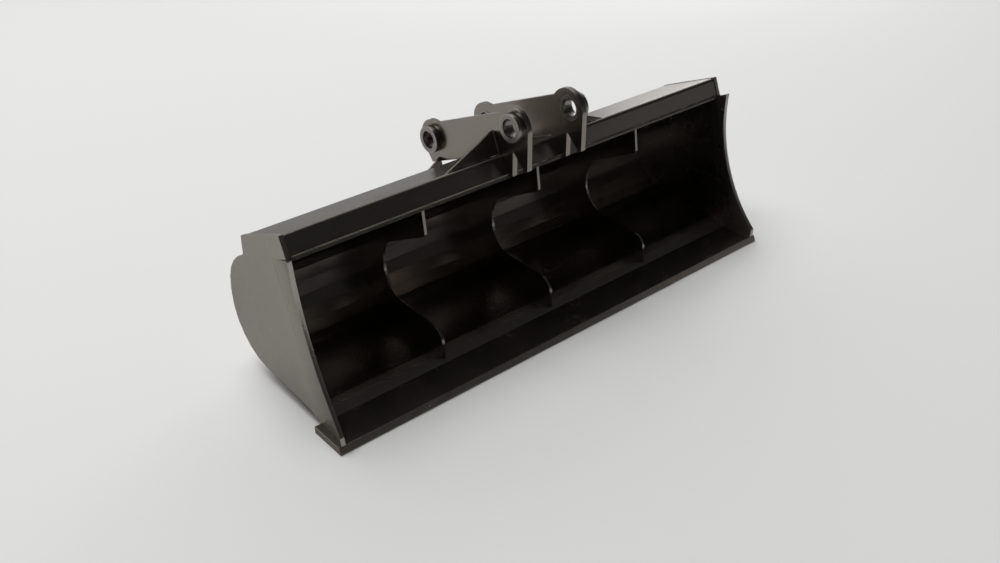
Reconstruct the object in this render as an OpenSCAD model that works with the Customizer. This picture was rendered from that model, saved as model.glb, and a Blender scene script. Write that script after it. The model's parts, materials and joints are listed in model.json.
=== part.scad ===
// Grading bucket for an excavator, rigid pattern, built as a welded plate assembly.
// Frame: X across the bucket, +Y to the rear, +Z up, origin under the middle of the whole
// assembly. Profiles are drawn in the Y-Z plane with Y counted from the tip of the blade.

/* [Bucket body] */
// Width over the side plates
bucket_w = 2000; // [1200:50:2600]
// Plate thickness of the wrapped shell
shell_t = 9; // [7:0.5:14]
// Thickness of the side plates and of their flared front strips
side_t = 15; // [10:1:20]
// Height of the lip's lower front corner above the ground
lip_z = 570; // [520:5:640]
// Distance of the lip behind the tip of the blade
lip_y = 243; // [200:5:290]
// Rearward fall of the torsion beam and of the ears, in degrees
tilt = 22.8; // [18:0.2:27]
// Rearward fall of the shell's roof, in degrees
roof_fall = 21; // [17:0.2:25]
// Rise of the floor towards the back, in degrees
floor_rise = 3.6; // [1:0.2:6]
// Forward lean of the flat back panel, in degrees
back_lean = 2.4; // [0:0.2:6]
// Distance of the back panel behind the blade tip, at back_z
back_y = 659; // [610:1:720]
// Outer radius of the lower back bend
low_r = 195; // [140:5:210]
// Outer radius of the upper back bend
top_r = 200; // [120:5:215]
// Length of the steeper toe panel that leads from the blade to the floor
toe_len = 61; // [50:1:80]
// Rise of the underside over the toe panel
toe_rise = 18; // [12:1:22]
// Length of the bevel that feathers the shell's front edge down to the blade
toe_bevel = 34; // [20:1:45]

/* [Cutting edge] */
// Depth of the blade, front to back
blade_d = 148; // [110:1:200]
// Thickness of the blade
blade_t = 25; // [15:1:32]
// Length of the bevel ground on the upper front of the blade
bevel_d = 10; // [5:1:30]
// How far the blade stands out beyond each side plate
blade_over = 25; // [16:1:35]
// Width of the shell's seat on the rear of the blade
lap = 4; // [3:1:16]

/* [Side strips] */
// Radius to which the front strip is rolled outwards
flare_r = 560; // [450:10:900]
// Radius of the hollow front edge
front_r = 758; // [650:10:1200]
// Height of the upright toe of the front edge, above the blade
strip_toe = 32; // [20:1:60]
// How far the strip reaches in front of the lip
strip_fwd = 37; // [20:1:50]
// Length of the strip's top edge behind the lip
strip_back = 91; // [70:1:110]
// Height of the strip's top edge above the lip's lower corner
strip_top = 8; // [4:1:12]

/* [Torsion beam] */
// Depth of the beam's end plates along the slope
beam_d = 271; // [230:1:300]
// Height of the beam's end plates above the lip's lower corner
beam_h = 85; // [70:1:100]
// Rearward set of the beam's rear foot behind its upper edge
beam_foot = 36; // [20:1:45]
// How far the end plates stand above the beam
proud_top = 2; // [1:0.5:8]
// How far the end plates stand in front of the beam
proud_front = 3; // [1:0.5:10]
// Plate thickness of the beam
beam_t = 10; // [8:1:14]
// Outer bend radius of the beam's plate
bend_r = 14; // [12:1:18]
// Thickness of the inner diaphragms
diaphragm_t = 20; // [10:1:24]

/* [Ears and bearings] */
// Clear width between the ears
ear_gap = 230; // [160:2:300]
// Thickness of each ear
ear_t = 20; // [15:1:30]
// Distance between the two pin axes
pin_span = 483; // [420:1:520]
// Height of the pin axes above the lip's lower corner, square to the roof
pin_v = 169.5; // [150:0.5:190]
// Forward reach of the front pin, along the roof
pin_fwd = 103; // [85:1:120]
// Pin diameter
pin_d = 65; // [45:1:70]
// Wall of the pressed bushes
bush_wall = 7.5; // [5:0.5:9]
// Wall of the boss tube where it passes through the ear
boss_wall = 4; // [3:0.5:6]
// Extra radius of the boss outside the ear
collar = 6; // [4:0.5:8]
// How far each boss stands out of its ear
boss_out = 24; // [15:1:35]
// Radius of the ear's front lobe
front_lobe_r = 76; // [72:1:82]
// Distance of the front lobe's centre behind the front pin, along the roof
front_lobe_back = 13; // [6:1:16]
// Distance of the front lobe's centre below the line of the pin axes
front_lobe_low = 4.5; // [0:0.5:8]
// Radius of the blend behind the front lobe
front_blend_r = 12; // [6:1:25]
// Radius of the ear around the rear pin
rear_lobe_r = 70; // [60:1:78]
// Height of the ear's upper edge above the pin axes
ear_top = 55; // [46:1:57]
// Reach of the ear's rear heel behind the rear pin, along the beam
heel_back = 46; // [36:1:56]
// Radius of the blend in front of the rear lobe
rear_blend_r = 30; // [15:1:45]
// Height of the notch's top above the ear's front corner
notch_h = 51; // [35:1:60]
// Width of the notch at its mouth
notch_w = 53; // [30:1:60]
// Distance of the notch's rear wall behind the ear's front edge
notch_set = 73; // [62:1:82]
// Height of the ear's front corner above the lip's lower corner
nose_z = 56; // [45:1:70]

/* [Gussets] */
// Thickness of the gussets
gusset_t = 12; // [8:1:16]
// Length of the front gussets along the beam
gusset_l = 228; // [120:2:300]
// Length of the rear gussets along the shell
rear_gusset_l = 168; // [90:2:240]
// Height of the rear gussets' tips above the lip's lower corner
rear_gusset_v = 99; // [80:1:110]
// Height left at the rear gussets' outer ends, over the lip's lower corner
rear_gusset_toe = 10; // [8:1:14]

/* [Ribs] */
// Thickness of the inner ribs
rib_t = 10; // [8:1:16]
// Distance from the middle rib to each outer one
rib_pitch = 500; // [300:10:560]
// Height of the rib's front corner above the floor
rib_floor_h = 100; // [70:2:120]
// Distance of the rib's foot behind the shell's front edge
rib_foot = 12; // [8:1:30]
// Depth of the rib's hollow edge, measured from the back panel
rib_back_d = 176; // [150:2:200]
// Length of the tab under the lip
tab_l = 89; // [70:1:105]
// Forward lean of the tab's front edge over that length
tab_fwd = 13; // [2:1:20]
// Fall of the tab's lower edge, in degrees more than the roof's
tab_fall = 6; // [0:0.5:9]
// Radius of the tab's lower corner
tab_r = 18; // [8:1:25]
// Radius of the rib's nose
nose_r = 58; // [30:1:66]
// Radius of the lower corner of the rib's hollow
hollow_low_r = 108; // [60:2:120]
// Radius of the upper corner of the rib's hollow
hollow_top_r = 86; // [50:2:100]

/* [Hidden] */

$fn = 96;
paint = "#4a4743";
blade_paint = "#55524e";
boss_steel = "#6d6a66";
bush_steel = "#8c8985";
arc_step = 7.5;      // degrees for one facet of a drawn arc
lobe_step = 3;       // degrees for one facet of an ear's lobe
roll_step = 1.5;     // degrees for one facet of the rolled strips
plate_step = 15;     // degrees for one press-brake panel of the shell's bends
spare = 60;          // overshoot of cutting shapes
half_turn = 180;     // degrees

side_x = bucket_w / 2;
inner_x = side_x - side_t;
ear_x = ear_gap / 2 + ear_t;
hole_r = pin_d / 2 + bush_wall + boss_wall;
collar_r = hole_r + collar;

// Unit vectors of the beam: along it to the rear, and square to it upwards. Places on
// the beam and the ears count from the lip along these two.
along = [cos(tilt), -sin(tilt)];
square_up = [sin(tilt), cos(tilt)];
lip = [lip_y, lip_z];
function roof(u, v) = lip + u * along + v * square_up;

front_pin = roof(-pin_fwd, pin_v);
rear_pin = roof(pin_span - pin_fwd, pin_v);

// Helpers for outlines
function polar(r, a) = [r * cos(a), r * sin(a)];
function reverse(v) = [for (i = [len(v) - 1:-1:0]) v[i]];
function unit(p) = p / norm(p);
function turn(p) = [-p[1], p[0]];
function cross2(a, b) = a[0] * b[1] - a[1] * b[0];
function meet(p, d, q, e) = p + d * cross2(q - p, e) / cross2(d, e);
function arc(c, r, a0, a1, step) =
    let (n = max(1, ceil(abs(a1 - a0) / step)))
    [for (i = [0:n]) c + polar(r, a0 + (a1 - a0) * i / n)];
// One corner at p of the given radius, between its neighbours a and b
function corner(a, p, b, r) =
    let (u = unit(a - p), w = unit(b - p), half = acos(u * w) / 2,
        c = p + unit(u + w) * r / sin(half),
        s = p + u * r / tan(half) - c, e = p + w * r / tan(half) - c,
        sweep = atan2(cross2(s, e), s * e), a0 = atan2(s[1], s[0]))
    r == 0 ? [p] : arc(c, r, a0, a0 + sweep, arc_step);
// A closed outline from points and one radius for each
function rounded(pts, radii) =
    let (n = len(pts))
    [for (i = [0:n - 1]) each corner(pts[(i + n - 1) % n], pts[i], pts[(i + 1) % n], radii[i])];

// Shell profile: toe panel, floor, lower bend, back panel, upper bend and roof.
// The bends are tangent to their neighbours, so their centres follow from the lines.
toe = [blade_d - lap, blade_t];
knuckle = toe + [toe_len, toe_rise];
floor_dir = [cos(floor_rise), sin(floor_rise)];
back_z = 270;
back_dir = [-sin(back_lean), cos(back_lean)];
low_c = meet(knuckle + low_r * turn(floor_dir), floor_dir,
    [back_y, back_z] - low_r * [cos(back_lean), sin(back_lean)], back_dir);
roof_dir = [cos(roof_fall), -sin(roof_fall)];
roof_top = lip + shell_t * turn(roof_dir);
toe_angle = atan2(toe_rise, toe_len);
toe_dir = polar(1, toe_angle);
top_c = meet([back_y, back_z] - top_r * [cos(back_lean), sin(back_lean)], back_dir,
    roof_top - top_r * turn(roof_dir), roof_dir);
function shell_back(inset) = concat(
    [knuckle + polar(inset / cos((toe_angle - floor_rise) / 2), 90 + (toe_angle + floor_rise) / 2)],
    arc(low_c, low_r - inset, floor_rise - 90, back_lean, plate_step),
    arc(top_c, top_r - inset, back_lean, 90 - roof_fall, plate_step));
function shell_path(inset) = concat(shell_back(inset), [lip + (shell_t - inset) * turn(roof_dir)]);
toe_inner = toe + toe_bevel * toe_dir + shell_t * turn(toe_dir);
assembly_back = max(rear_pin[0] + rear_lobe_r, low_c[0] + low_r);

// Torsion beam profile along its outside, in roof coordinates
beam_rear = beam_d - proud_front / 2;
foot_lean = atan2(beam_foot, beam_h - shell_t);
foot_dir = sin(foot_lean) * along - cos(foot_lean) * square_up;
beam_v = beam_h - proud_top;
function beam_path(inset, drop) =
    let (a = roof(proud_front + inset, beam_v - inset),
        f = roof(beam_rear - inset * tan((90 - foot_lean) / 2), beam_v - inset),
        foot = roof_top - drop * turn(roof_dir))
    [meet(a, square_up, foot, roof_dir), a, f, meet(f, foot_dir, foot, roof_dir)];
// inset is the depth inside the plate, and drop the depth of the open side below the roof
function beam_outline(inset, drop) =
    let (r = bend_r - inset)
    rounded(beam_path(inset, drop), [0, r, r, 0]);

// Bend line of the side plates, from the strip's top edge down to the toe
bend_top = roof(strip_back, strip_top);
bend_dir = unit(bend_top - toe);
strip_corner = [bevel_d, blade_t + strip_toe];
strip_tip = roof(-strip_fwd, strip_top);
// The hollow front edge runs from strip_corner to strip_tip with its centre in front
hollow_c = let (m = (strip_corner + strip_tip) / 2, h = (strip_tip - strip_corner) / 2)
    m + unit(turn(h)) * sqrt(front_r * front_r - h * h);

// Places a profile drawn in Y-Z between two X values
module across(x0, x1) {
    translate([x0, -assembly_back / 2, 0])
        rotate([90, 0, 90])
            linear_extrude(height = x1 - x0) children();
}

// A round bar along X about a point of the profile
module round_bar(p, r, x0, x1) {
    translate([x0, p[0] - assembly_back / 2, p[1]])
        rotate([0, 90, 0]) cylinder(r = r, h = x1 - x0);
}

// Draws its children for the right end, or mirrored for the left
module on_side(side) {
    if (side > 0) children();
    else mirror([1, 0, 0]) children();
}

module shell_outside() {
    polygon(concat([toe], shell_path(0), [lip, toe_inner]));
}

// Everything inside the shell's plate, and in front of it up to the lip's height
module shell_inside() {
    polygon(concat([toe, toe_inner], shell_path(shell_t), [[-spare, lip_z], [-spare, blade_t]]));
}

module shell() {
    color(paint) across(-inner_x, inner_x)
        polygon(concat([toe], shell_path(0), reverse(shell_path(shell_t)), [toe_inner]));
}

module cutting_edge() {
    x = side_x + blade_over;
    color(blade_paint) across(-x, x)
        polygon([[0, 0], [blade_d, 0], [blade_d, blade_t], [bevel_d, blade_t], [0, blade_t / 6]]);
}

// The flat part of a side: the end of the beam and everything behind the bend line
function side_points() =
    let (top = rounded([roof(0, strip_top), roof(0, beam_h), roof(beam_d, beam_h),
        meet(roof(beam_d, beam_h), foot_dir, roof_top, roof_dir)], [0, bend_r / 2, bend_r / 2, 0]))
    concat([toe], shell_back(0), reverse(top), [bend_top]);

module side_plate(side) {
    color(paint) on_side(side) across(inner_x, side_x) polygon(side_points());
}

// The strip in front of the bend line, rolled outwards about an axis along that line
module side_strip(side) {
    reach = 2 * norm(strip_tip - toe);
    roll_end = half_turn + 30;
    color(paint) on_side(side) intersection() {
        across(inner_x - spare, side_x + spare) difference() {
            polygon([toe, bend_top, strip_tip, strip_corner, [bevel_d, blade_t]]);
            translate(hollow_c) circle(r = front_r, $fn = 360);
        }
        translate([side_x + flare_r, toe[0] - assembly_back / 2, toe[1]])
            rotate([-asin(bend_dir[0]), 0, 0]) linear_extrude(height = 2 * reach, center = true)
                polygon(concat(
                    arc([0, 0], flare_r + side_t, half_turn - lobe_step, roll_end, roll_step),
                    arc([0, 0], flare_r, roll_end, half_turn - lobe_step, roll_step)));
    }
}

module torsion_beam() {
    color(paint) across(-inner_x, inner_x) difference() {
        polygon(beam_outline(0, 0));
        polygon(beam_outline(beam_t, spare));
    }
}

module beam_diaphragm(side) {
    color(paint) on_side(side) across(ear_x - diaphragm_t, ear_x)
        polygon(beam_outline(beam_t, 0));
}

// The hollow of a rib, which leaves a tab under the lip and a round nose at the floor
function rib_opening() =
    let (back = back_y - rib_back_d,
        floor_top = knuckle[1] + rib_floor_h,
        nose_y = toe[0] + rib_foot,
        tab = lip - [tab_fwd, tab_l])
    rounded([
        [nose_y, -spare], [nose_y, floor_top], [back, floor_top + (back - nose_y) * tan(floor_rise)],
        meet([back, 0], [0, 1], tab, polar(1, -roof_fall - tab_fall)), tab, lip,
        lip - [lip_y + spare, 0], [-spare, -spare]],
        [0, nose_r, hollow_low_r, hollow_top_r, tab_r, 0, 0, 0]);

// C-shaped rib that follows the shell
module rib(x) {
    color(paint) across(x - rib_t / 2, x + rib_t / 2) difference() {
        shell_inside();
        polygon(rib_opening());
    }
}

// Ear outline: two lobes joined by blends to a straight upper edge, a nose in front and
// a heel behind
front_lobe = roof(front_lobe_back - pin_fwd, pin_v - front_lobe_low);
nose = [front_lobe[0] - front_lobe_r, lip_z + nose_z];
function ear_points() =
    let (front_rise = ear_top + front_lobe_low + front_blend_r,
        rear_rise = ear_top + rear_blend_r,
        front_run = sqrt(pow(front_lobe_r + front_blend_r, 2) - pow(front_rise, 2)),
        rear_run = sqrt(pow(rear_lobe_r + rear_blend_r, 2) - pow(rear_rise, 2)),
        front_a = atan2(front_rise, front_run) - tilt,
        rear_a = atan2(rear_rise, -rear_run) - tilt,
        heel = roof(pin_span - pin_fwd + heel_back, beam_v),
        away = heel - rear_pin,
        heel_a = atan2(away[1], away[0]) + acos(rear_lobe_r / norm(away)))
    concat(
        arc(front_lobe, front_lobe_r, half_turn, front_a, lobe_step),
        arc(front_lobe + front_run * along + front_rise * square_up, front_blend_r,
            front_a + half_turn, 270 - tilt, arc_step),
        arc(rear_pin - rear_run * along + rear_rise * square_up, rear_blend_r,
            270 - tilt, rear_a + half_turn, arc_step),
        arc(rear_pin, rear_lobe_r, rear_a, heel_a, lobe_step),
        [heel, roof(beam_rear, beam_v), roof(beam_rear, 0), lip, nose]);

// The ear straddles the beam and has a notch in its foot
module ear_outline() {
    notch_back = nose[0] + notch_set;
    notch_front = notch_back - notch_w;
    difference() {
        polygon(ear_points());
        // the beam and the shell that the ear straddles
        polygon(beam_outline(0, 0));
        shell_outside();
        // the notch in the foot
        polygon([[notch_back, nose[1] + notch_h], [notch_back, lip_z - spare],
            [notch_front, lip_z - spare], [notch_front, nose[1]]]);
    }
}

module ear(side) {
    color(paint) on_side(side) difference() {
        across(ear_gap / 2, ear_x) ear_outline();
        round_bar(front_pin, hole_r, ear_gap / 2 - spare, ear_x + spare);
        round_bar(rear_pin, hole_r, ear_gap / 2 - spare, ear_x + spare);
    }
}

// Boss: a tube through the ear with a collar that stands out of it
module boss(side, p) {
    color(boss_steel) on_side(side) difference() {
        union() {
            round_bar(p, hole_r, ear_gap / 2, ear_x);
            round_bar(p, collar_r, ear_x, ear_x + boss_out);
        }
        round_bar(p, pin_d / 2 + bush_wall, 0, ear_x + boss_out + spare);
    }
}

module bush(side, p) {
    color(bush_steel) on_side(side) difference() {
        round_bar(p, pin_d / 2 + bush_wall, ear_gap / 2, ear_x + boss_out);
        round_bar(p, pin_d / 2, 0, ear_x + boss_out + spare);
    }
}

// Front gusset: a triangle square to the beam's top, from the ear outwards
module gusset_front(side) {
    u0 = proud_front + bend_r;
    h = pin_v - beam_v;
    color(paint) on_side(side)
        translate([ear_x, lip_y - assembly_back / 2, lip_z]) rotate([-tilt, 0, 0])
            translate([0, u0 + gusset_t, beam_v]) rotate([90, 0, 0])
                linear_extrude(height = gusset_t) polygon([[0, 0], [gusset_l, 0], [0, h]]);
}

// Rear gusset: stands on the shell's upper bend under the rear boss
module gusset_rear(side) {
    u0 = pin_span - pin_fwd - gusset_t;
    color(paint) on_side(side) difference() {
        translate([ear_x, lip_y - assembly_back / 2, lip_z]) rotate([-tilt, 0, 0])
            translate([0, u0 + gusset_t, 0]) rotate([90, 0, 0])
                linear_extrude(height = gusset_t)
                    polygon([[0, -spare / 2], [rear_gusset_l, -spare / 2],
                        [rear_gusset_l, rear_gusset_toe], [0, rear_gusset_v]]);
        across(0, side_x) shell_outside();
    }
}

shell();
cutting_edge();
side_plate(-1);  // side_plate_left
side_plate(1);  // side_plate_right
side_strip(-1);  // side_strip_left
side_strip(1);  // side_strip_right
torsion_beam();
beam_diaphragm(-1);  // beam_diaphragm_left
beam_diaphragm(1);  // beam_diaphragm_right
rib(-rib_pitch);  // rib_left
rib(0);  // rib_centre
rib(rib_pitch);  // rib_right
ear(-1);  // ear_left
ear(1);  // ear_right
boss(-1, front_pin);  // boss_front_left
boss(1, front_pin);  // boss_front_right
boss(-1, rear_pin);  // boss_rear_left
boss(1, rear_pin);  // boss_rear_right
bush(-1, front_pin);  // bush_front_left
bush(1, front_pin);  // bush_front_right
bush(-1, rear_pin);  // bush_rear_left
bush(1, rear_pin);  // bush_rear_right
gusset_front(-1);  // gusset_front_left
gusset_front(1);  // gusset_front_right
gusset_rear(-1);  // gusset_rear_left
gusset_rear(1);  // gusset_rear_right
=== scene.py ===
"""Looks of a grading bucket for an excavator: dark satin enamel over cut and rolled plate.

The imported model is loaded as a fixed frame. This script finishes its plates, tubes and
bushes, adds the weld runs that join them, and sets the floor, the light and the camera.
"""
import json
import math

import bmesh
import bpy
from mathutils import Matrix, Vector


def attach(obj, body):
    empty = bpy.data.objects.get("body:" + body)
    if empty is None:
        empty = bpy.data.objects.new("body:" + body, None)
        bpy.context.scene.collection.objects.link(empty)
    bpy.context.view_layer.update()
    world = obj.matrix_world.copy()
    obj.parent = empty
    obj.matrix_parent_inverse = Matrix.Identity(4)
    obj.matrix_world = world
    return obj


MM = 0.001

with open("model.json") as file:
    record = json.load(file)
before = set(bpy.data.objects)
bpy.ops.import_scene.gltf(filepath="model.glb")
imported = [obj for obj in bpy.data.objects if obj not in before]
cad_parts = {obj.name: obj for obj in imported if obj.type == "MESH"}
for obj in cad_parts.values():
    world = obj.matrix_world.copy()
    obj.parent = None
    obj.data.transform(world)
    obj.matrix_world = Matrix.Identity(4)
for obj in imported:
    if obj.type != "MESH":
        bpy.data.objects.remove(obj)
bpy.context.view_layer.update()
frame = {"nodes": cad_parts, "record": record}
nodes = frame["nodes"]


def hex_colour(code):
    """Turns an sRGB hex code into a linear colour with alpha."""
    parts = [int(code[i:i + 2], 16) / 255 for i in (1, 3, 5)]
    return [c / 12.92 if c <= 0.04045 else ((c + 0.055) / 1.055) ** 2.4 for c in parts] + [1.0]


def add(tree, kind, inputs=None, **settings):
    """Adds a node with its settings. An input takes a value or another node's output."""
    node = tree.nodes.new(kind)
    for name, value in settings.items():
        setattr(node, name, value)
    for name, value in (inputs or {}).items():
        if isinstance(value, bpy.types.NodeSocket):
            tree.links.new(value, node.inputs[name])
        else:
            node.inputs[name].default_value = value
    return node


def new_material(name, surface):
    """A node material with its shader, set to the values in surface, and with Object
    coordinates to draw patterns on."""
    material = bpy.data.materials.new(name)
    material.use_nodes = True
    tree = material.node_tree
    tree.nodes.clear()
    shader = add(tree, "ShaderNodeBsdfPrincipled", surface)
    add(tree, "ShaderNodeOutputMaterial", {"Surface": shader.outputs[0]})
    where = add(tree, "ShaderNodeTexCoord").outputs["Object"]
    return material, tree, shader, where


def in_scene(name, data):
    """Puts an object with this data into the scene."""
    placed = bpy.data.objects.new(name, data)
    bpy.context.scene.collection.objects.link(placed)
    return placed


# --- Finishes ---

# A noise texture keeps mostly between these values
NOISE_SPAN = {"From Min": 0.3, "From Max": 0.7}
# Sockets of a colour Mix node, which share their names with its other sockets
MIX_A, MIX_B, MIX_RESULT = 6, 7, 2

# The flake reflects less at a low angle than a bare metal would, as resin lies between
LOW_ANGLE = "#aaaaaa"
# Film: how wide its paler and darker clouds are, and how much its colour changes in them
CLOUD = 220 * MM
CLOUD_SHADE = 0.03
# Gloss: how wide a spray pass is, and how much the roughness changes from one to the next
SPRAY_PASS = 90 * MM
PASS_GLOSS = 0.015
# Orange peel is about 1 mm wide. It is drawn wider here, so that it shows at all
PEEL = 4 * MM
PEEL_DEPTH = 0.02 * MM
# Edge wear and painted edge highlight: the paler colour along edges is partly rubbed film and
# partly a painted highlight of the light lines that edges catch. How far it reaches from an edge,
# how wide its patches are, and how much of the film it takes. It starts and is full where the
# shader bevel's normal has turned this far from the true one, as a cosine
WEAR_AND_HIGHLIGHT_REACH = 2.0 * MM
WEAR_AND_HIGHLIGHT_PATCH = 35 * MM
WEAR_AND_HIGHLIGHT_MOST = 0.6
WEAR_AND_HIGHLIGHT_START, WEAR_AND_HIGHLIGHT_FULL = 0.97, 0.80

# Tool marks in a bore: how wide they are along X, the pin's axis, and along Y and Z, where
# they are long, so that they run round the pin
TOOL_MARK = (1.6 * MM, 500 * MM, 500 * MM)
TOOL_MARK_DEPTH = 0.10 * MM


def flake_enamel(name, colour, rubbed_and_highlit, roughness):
    """Graphite enamel with fine metal flake, sprayed on blasted plate. The flake makes it
    mirror its surroundings softly and darkly, so a face is as light as what it faces.
    The film is a little uneven, and thinner and paler along cut edges; the paleness there is
    partly wear and partly a painted highlight."""
    material, tree, shader, where = new_material(name, {
        "Metallic": 1.0, "Specular Tint": hex_colour(LOW_ANGLE)})
    clouds = add(tree, "ShaderNodeTexNoise", {
        "Vector": where, "Scale": 1 / CLOUD, "Detail": 3.0})
    shade = add(tree, "ShaderNodeMapRange", {
        "Value": clouds.outputs["Fac"], **NOISE_SPAN,
        "To Min": 1 - CLOUD_SHADE, "To Max": 1 + CLOUD_SHADE})
    film = add(tree, "ShaderNodeVectorMath", {
        0: hex_colour(colour)[:3], "Scale": shade.outputs[0]}, operation="SCALE")

    rounded = add(tree, "ShaderNodeBevel", {"Radius": WEAR_AND_HIGHLIGHT_REACH}, samples=6)
    geometry = add(tree, "ShaderNodeNewGeometry")
    turned = add(tree, "ShaderNodeVectorMath", {
        0: rounded.outputs[0], 1: geometry.outputs["Normal"]}, operation="DOT_PRODUCT")
    edge = add(tree, "ShaderNodeMapRange", {
        "Value": turned.outputs["Value"], "From Min": WEAR_AND_HIGHLIGHT_START, "From Max": WEAR_AND_HIGHLIGHT_FULL,
        "To Min": 0.0, "To Max": WEAR_AND_HIGHLIGHT_MOST})
    patches = add(tree, "ShaderNodeTexNoise", {
        "Vector": where, "Scale": 1 / WEAR_AND_HIGHLIGHT_PATCH, "Detail": 4.0})
    worn_and_highlit = add(tree, "ShaderNodeMath", {
        0: edge.outputs[0], 1: patches.outputs["Fac"]}, operation="MULTIPLY")
    # paler colour along edges: partly rubbed film, partly a painted highlight
    mixed = add(tree, "ShaderNodeMix", {
        "Factor": worn_and_highlit.outputs[0], MIX_A: film.outputs[0], MIX_B: hex_colour(rubbed_and_highlit),
    }, data_type="RGBA")
    tree.links.new(mixed.outputs[MIX_RESULT], shader.inputs["Base Color"])

    passes = add(tree, "ShaderNodeTexNoise", {
        "Vector": where, "Scale": 1 / SPRAY_PASS, "Detail": 2.0})
    gloss = add(tree, "ShaderNodeMapRange", {
        "Value": passes.outputs["Fac"], **NOISE_SPAN,
        "To Min": roughness - PASS_GLOSS, "To Max": roughness + PASS_GLOSS})
    tree.links.new(gloss.outputs[0], shader.inputs["Roughness"])

    peel = add(tree, "ShaderNodeTexNoise", {
        "Vector": where, "Scale": 1 / PEEL, "Detail": 1.0})
    dimples = add(tree, "ShaderNodeBump", {
        "Height": peel.outputs["Fac"], "Strength": 0.05, "Distance": PEEL_DEPTH})
    tree.links.new(dimples.outputs[0], shader.inputs["Normal"])
    return material


def bored_steel(name, colour, roughness):
    """Bored and faced steel under the same thin film: metal, with fine tool marks."""
    material, tree, shader, where = new_material(name, {
        "Metallic": 1.0, "Roughness": roughness, "Base Color": hex_colour(colour)})
    along = add(tree, "ShaderNodeMapping", {
        "Vector": where, "Scale": [1 / width for width in TOOL_MARK]})
    marks = add(tree, "ShaderNodeTexNoise", {
        "Vector": along.outputs[0], "Scale": 1.0, "Detail": 2.0})
    grooves = add(tree, "ShaderNodeBump", {
        "Height": marks.outputs["Fac"], "Strength": 0.3, "Distance": TOOL_MARK_DEPTH})
    tree.links.new(grooves.outputs[0], shader.inputs["Normal"])
    return material


# each finish: film colour, then the paler edge colour (partly wear, partly a painted edge
# highlight), then roughness
finishes = {
    "body_paint": flake_enamel("flake_enamel_body", "#87807a", "#c4beb6", 0.25),
    # a paler copy of the body enamel for the side plates and strips: painted light
    "side_paint_lit": flake_enamel("flake_enamel_side", "#a09b95", "#c0bab2", 0.28),
    # the blade's coat is a touch darker than the body's: painted shade on the blade
    "blade_paint": flake_enamel("flake_enamel_blade_shaded", "#827b75", "#c4beb6", 0.26),
    "boss_paint": flake_enamel("flake_enamel_boss", "#908c88", "#b4b0ab", 0.30),
    "bush_steel": bored_steel("bored_steel_bush", "#827e7b", 0.26),
    "weld_paint": flake_enamel("flake_enamel_weld", "#5a554f", "#7d7872", 0.42),
}

# --- Plates, tubes and bushes ---

# Points closer together than this are joined before edges are ground
SAME_POINT = 0.01 * MM
# Edges that turn by more than this are ground, and how wide in each slot
SHARP = math.radians(30)
GROUND = {
    "body_paint": 1.0 * MM,
    "blade_paint": 1.2 * MM,
    "boss_paint": 0.8 * MM,
    "bush_steel": 0.8 * MM,
}

slots = {part["node"]: part["material_slot"] for part in frame["record"]["subparts"]}
for name, node in nodes.items():
    slot = slots[name]
    node.data.materials.clear()
    # the side plates and strips take a paler, duller copy of the body's enamel: painted light on
    # their faces
    node.data.materials.append(finishes["side_paint_lit" if name.startswith("side_") else slot])
    join = node.modifiers.new("join", "WELD")
    join.merge_threshold = SAME_POINT
    ground = node.modifiers.new("ground edges", "BEVEL")
    ground.width = GROUND[slot]
    ground.segments = 2
    ground.limit_method = "ANGLE"
    ground.angle_limit = SHARP

# --- Weld runs ---

# Sides of the rod that a run is drawn as
ROD_SIDES = 10
# Ripples: how far apart they are, and how much each one swells
RIPPLE_PITCH = 6 * MM
RIPPLE_SWELL = 1.04


def weld_run(name, start, end, radius):
    """A run of weld between two points in mm: a rippled rod, half sunk in the corner it
    fills and painted over with the body."""
    start, end = Vector(start) * MM, Vector(end) * MM
    run = end - start
    steps = round(run.length / RIPPLE_PITCH)
    rod = bmesh.new()
    bmesh.ops.create_circle(rod, cap_ends=True, segments=ROD_SIDES, radius=radius * MM)
    bmesh.ops.rotate(rod, verts=rod.verts, matrix=run.to_track_quat("Z", "Y").to_matrix())
    bmesh.ops.translate(rod, verts=rod.verts, vec=start)
    tip = rod.faces[:]
    for step in range(steps):
        grown = bmesh.ops.extrude_face_region(rod, geom=tip)["geom"]
        tip = [part for part in grown if isinstance(part, bmesh.types.BMFace)]
        ring = [part for part in grown if isinstance(part, bmesh.types.BMVert)]
        bmesh.ops.translate(rod, verts=ring, vec=run / steps)
        swell = 1 / RIPPLE_SWELL if step % 2 else RIPPLE_SWELL
        centre = start + run * (step + 1) / steps
        bmesh.ops.scale(
            rod, verts=ring, vec=(swell, swell, swell), space=Matrix.Translation(-centre))
    bmesh.ops.recalc_face_normals(rod, faces=rod.faces)
    mesh = bpy.data.meshes.new(name)
    rod.to_mesh(mesh)
    rod.free()
    mesh.shade_smooth()
    mesh.materials.append(finishes["weld_paint"])
    piece = in_scene(name, mesh)
    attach(piece, "root")


# Radius of a run in mm, between large plates and along a gusset
PLATE_WELD = 3.5
GUSSET_WELD = 3.0
# Places in the bucket's cross-section where plates meet, y and z in mm. A front gusset's
# foot and head are given at its front and at its rear face
LIP_SEAM = (-117.5, 578.5)
BEAM_TOP_FRONT = (-68.0, 637.5)
BEAM_TOP_REAR = (152.0, 545.0)
GUSSET_FOOT = ((-73.7, 639.9), (-62.6, 635.3))
GUSSET_HEAD = ((-42.0, 715.0), (-31.0, 710.5))
# Places across the bucket, x in mm from its middle
BODY_INSIDE = 984
EAR_INSIDE, EAR_OUTSIDE = 115, 135
GUSSET_TIP = 358

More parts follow.
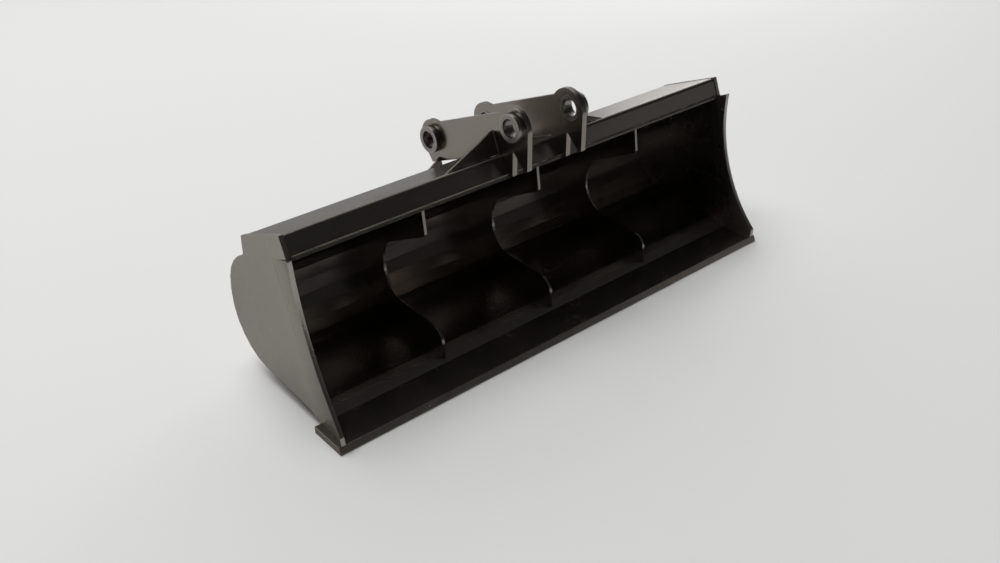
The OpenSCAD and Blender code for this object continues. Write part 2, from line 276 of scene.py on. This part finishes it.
weld_run("weld_lip", (-BODY_INSIDE, *LIP_SEAM), (BODY_INSIDE, *LIP_SEAM), PLATE_WELD)
for side, hand in ((-1, "left"), (1, "right")):
    outer, tip = side * EAR_OUTSIDE, side * GUSSET_TIP
    for x, face in ((side * EAR_INSIDE, "inside"), (outer, "outside")):
        weld_run(f"weld_ear_{face}_{hand}", (x, *BEAM_TOP_FRONT), (x, *BEAM_TOP_REAR), PLATE_WELD)
    for foot, head, face in zip(GUSSET_FOOT, GUSSET_HEAD, ("front", "rear")):
        weld_run(f"weld_gusset_foot_{face}_{hand}", (outer, *foot), (tip, *foot), GUSSET_WELD)
        weld_run(f"weld_gusset_ear_{face}_{hand}", (outer, *foot), (outer, *head), GUSSET_WELD)

# --- Floor ---

WHITE = "#ffffff"
BACKDROP = "#dedede"
BOARD = "#f2f2f1"
# The board's side, where along Y it starts to fade out in front of the bucket, and over
# what length, all in metres
BOARD_SIZE = 60
BOARD_FRONT = -2.5
BOARD_FADE = 1.5


def backdrop_board(name, colour):
    """Matt backdrop board: it takes shadows, and looks the same pale grey in reflections.
    In front it fades into a dark studio, which a camera sees as more of the same grey."""
    material, tree, shader, where = new_material(name, {
        "Base Color": hex_colour(colour), "Roughness": 0.9, "Specular IOR Level": 0.0})
    place = add(tree, "ShaderNodeSeparateXYZ", {"Vector": where})
    faded = add(tree, "ShaderNodeMapRange", {
        "Value": place.outputs["Y"], "From Min": BOARD_FRONT,
        "From Max": BOARD_FRONT - BOARD_FADE}, interpolation_type="SMOOTHSTEP")
    seen = add(tree, "ShaderNodeLightPath")
    beyond = add(tree, "ShaderNodeEmission", {
        "Color": hex_colour(BACKDROP), "Strength": seen.outputs["Is Camera Ray"]})
    both = add(tree, "ShaderNodeMixShader", {
        0: faded.outputs[0], 1: shader.outputs[0], 2: beyond.outputs[0]})
    tree.links.new(both.outputs[0], tree.nodes["Material Output"].inputs["Surface"])
    return material


bpy.ops.mesh.primitive_plane_add(size=BOARD_SIZE)
floor = bpy.context.object
floor.name = "floor"
floor.data.materials.append(backdrop_board("backdrop_board", BOARD))

# --- Light ---

# The studio is pale behind the bucket, and dark in front of it and overhead. Its strength
# rises from dark to pale as a look turns this way, between these two dot products with it
PALE_SIDE = (0.38, 0.82, -0.10)
DARK_UP_TO, PALE_FROM = 0.15, 0.85
DARK, PALE = 0.04, 1.15

world = bpy.data.worlds.new("studio")
bpy.context.scene.world = world
world.use_nodes = True
studio = world.node_tree
studio.nodes.clear()
seen = add(studio, "ShaderNodeLightPath")
looking = add(studio, "ShaderNodeTexCoord")
towards = add(studio, "ShaderNodeVectorMath", {
    0: looking.outputs["Generated"], 1: PALE_SIDE}, operation="DOT_PRODUCT")
glow = add(studio, "ShaderNodeMapRange", {
    "Value": towards.outputs["Value"], "From Min": DARK_UP_TO, "From Max": PALE_FROM,
    "To Min": DARK, "To Max": PALE})
fill = add(studio, "ShaderNodeBackground", {
    "Color": hex_colour(WHITE), "Strength": glow.outputs[0]})
backdrop = add(studio, "ShaderNodeBackground", {
    "Color": hex_colour(BACKDROP), "Strength": 1.0})
both = add(studio, "ShaderNodeMixShader", {
    0: seen.outputs["Is Camera Ray"], 1: fill.outputs[0], 2: backdrop.outputs[0]})
add(studio, "ShaderNodeOutputWorld", {"Surface": both.outputs[0]})

# Softboxes: where each stands, what it aims at, its side in metres and its watts
SOFTBOXES = {
    "overhead": ((-2.4, 5.0, 16.0), (0, 0.5, 0), 11.0, 2000),
    "low_right": ((5.6, 4.6, 1.0), (0.4, 0.3, 0.7), 1.8, 64),
    "high_right": ((6.6, 3.9, 4.0), (0.8, 0.0, 0.65), 1.2, 34),
    "front_right": ((6.5, -5.4, 1.0), (0.7, 0.0, 0.6), 3.0, 5),
}
for name, (at, aim, size, watts) in SOFTBOXES.items():
    data = bpy.data.lights.new(name, "AREA")
    data.shape = "SQUARE"
    data.size = size
    data.energy = watts
    data.color = hex_colour(WHITE)[:3]
    lamp = in_scene(name, data)
    lamp.location = at
    lamp.rotation_euler = (Vector(aim) - Vector(at)).to_track_quat("-Z", "Y").to_euler()
    lamp.visible_camera = False

# --- Camera ---

# The camera stands where the photograph was taken from: its place in metres, its tilt and
# turn in degrees, and its sensor and lens in mm
CAMERA_PLACE = (-2.213, -2.4785, 2.094)
CAMERA_TILT, CAMERA_TURN = 58.34, -40.88
SENSOR, LENS = 36, 36.756

lens = bpy.data.cameras.new("camera")
lens.sensor_width = SENSOR
lens.lens = LENS
camera = in_scene("camera", lens)
camera.location = CAMERA_PLACE
camera.rotation_euler = (math.radians(CAMERA_TILT), 0, math.radians(CAMERA_TURN))
bpy.context.scene.camera = camera
bpy.context.scene.view_settings.view_transform = "Standard"
